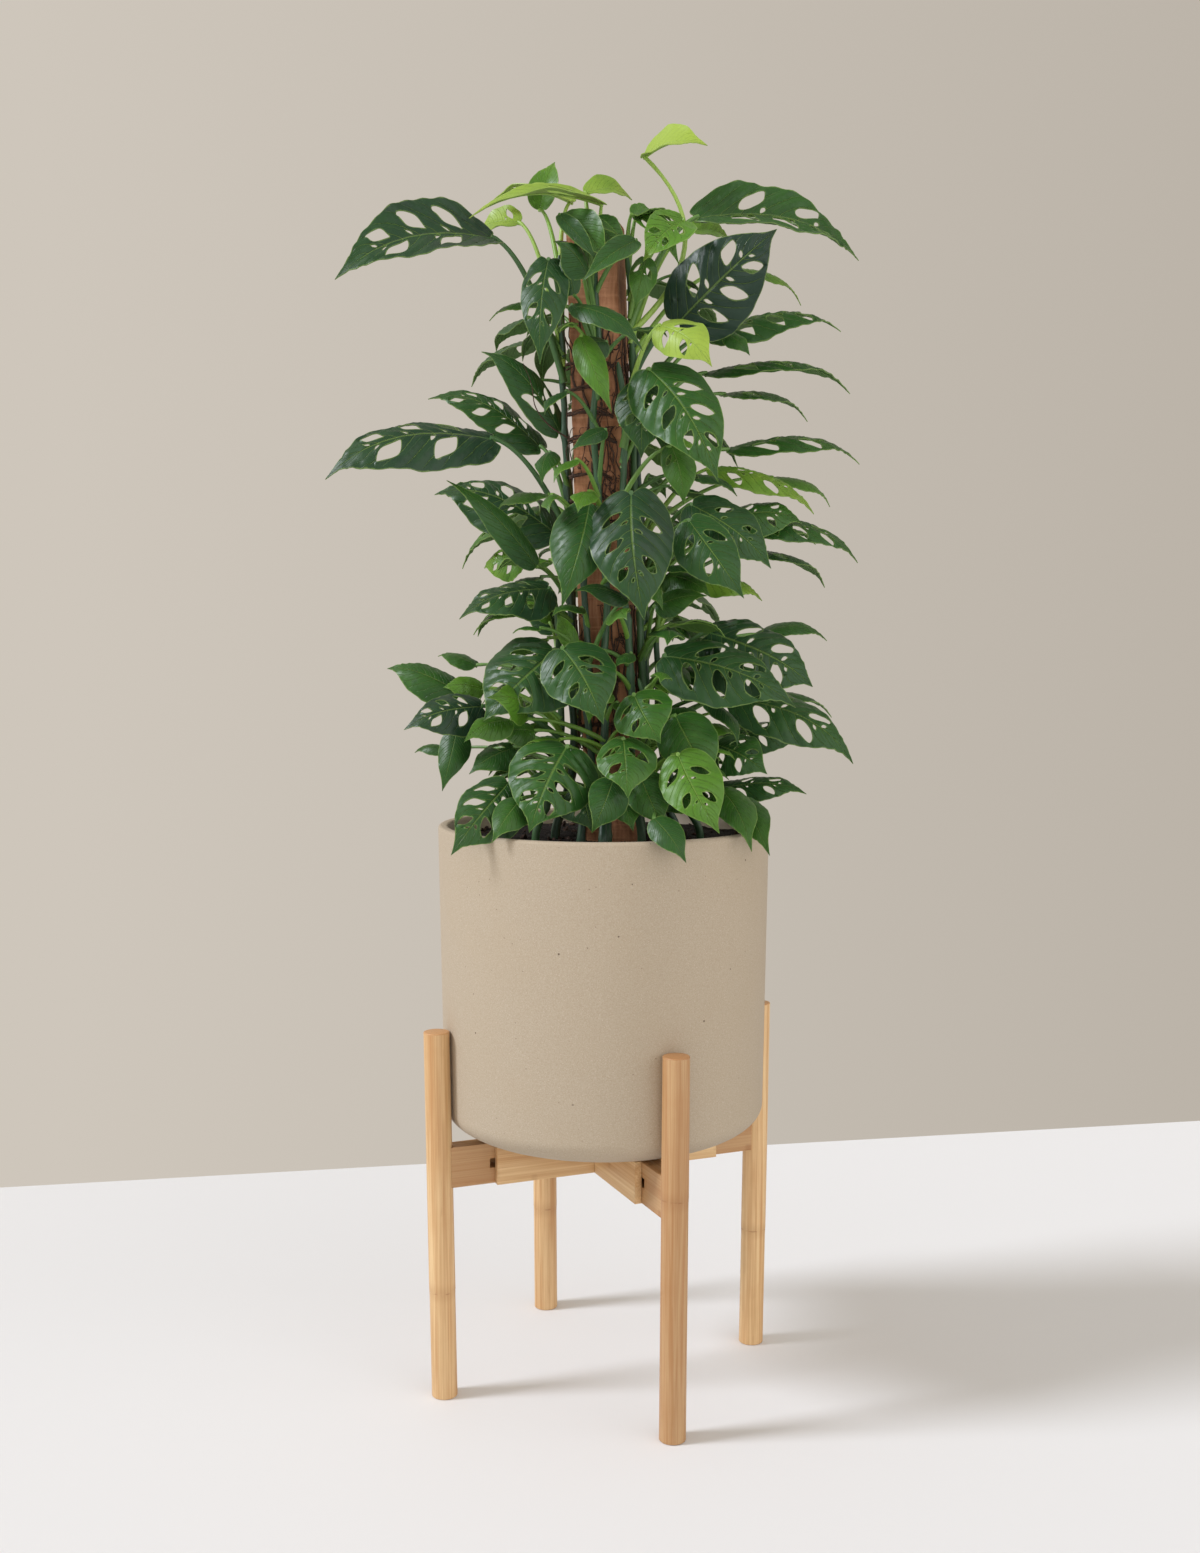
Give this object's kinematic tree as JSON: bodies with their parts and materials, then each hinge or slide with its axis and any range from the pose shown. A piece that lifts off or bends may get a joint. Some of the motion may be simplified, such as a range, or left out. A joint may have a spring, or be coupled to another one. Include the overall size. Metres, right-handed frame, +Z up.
{
  "type": "potted swiss cheese vine",
  "caption": "Climbing swiss cheese vine with perforated leaves on a rough timber post, planted in a sand-coloured round pot that stands in an adjustable bamboo plant stand.",
  "frame": {"origin": "on the pot's upright axis at floor level, between the stand's feet", "axes": "+Z up, -Y towards the viewer of the front view, +X to that viewer's right"},
  "size_m": [0.519, 0.3628, 1.2256],
  "materials": {
    "bamboo": "satin",
    "steel": "satin",
    "clay": "matte",
    "soil": "matte",
    "timber": "matte",
    "leaf": "satin",
    "root": "matte"
  },
  "bodies": {
    "root": {"beam_front_back": "bamboo", "beam_right_left": "bamboo", "bolt_front": "steel", "bolt_right": "steel", "bolt_back": "steel", "bolt_left": "steel", "pot": "clay", "soil": "soil", "post": "timber", "aerial_roots_low": "root", "aerial_roots_middle": "root", "aerial_roots_high": "root", "vine_left_tall": "leaf", "vine_post_top": "leaf", "vine_right_tall": "leaf", "vine_right_upper": "leaf", "vine_front_right": "leaf", "vine_right_mid": "leaf", "vine_front": "leaf", "vine_left_mid": "leaf", "vine_left_low": "leaf", "vine_front_low": "leaf", "vine_right_low": "leaf", "vine_right_foot": "leaf", "vine_back_left": "leaf", "vine_back_right": "leaf"},
    "side_front": {"leg_front": "bamboo", "arm_front": "bamboo"},
    "side_right": {"leg_right": "bamboo", "arm_right": "bamboo"},
    "side_back": {"leg_back": "bamboo", "arm_back": "bamboo"},
    "side_left": {"leg_left": "bamboo", "arm_left": "bamboo"}
  },
  "joints": [
    {"name": "front_arm_slide", "type": "slide", "parent": "root", "child": "side_front", "axis": [0.3778, -0.9259, 0], "range_m": [0, 0.03]},
    {"name": "right_arm_slide", "type": "slide", "parent": "root", "child": "side_right", "axis": [0.9259, 0.3778, 0], "range_m": [0, 0.03]},
    {"name": "back_arm_slide", "type": "slide", "parent": "root", "child": "side_back", "axis": [-0.3778, 0.9259, 0], "range_m": [0, 0.03]},
    {"name": "left_arm_slide", "type": "slide", "parent": "root", "child": "side_left", "axis": [-0.9259, -0.3778, 0], "range_m": [0, 0.03]}
  ]
}
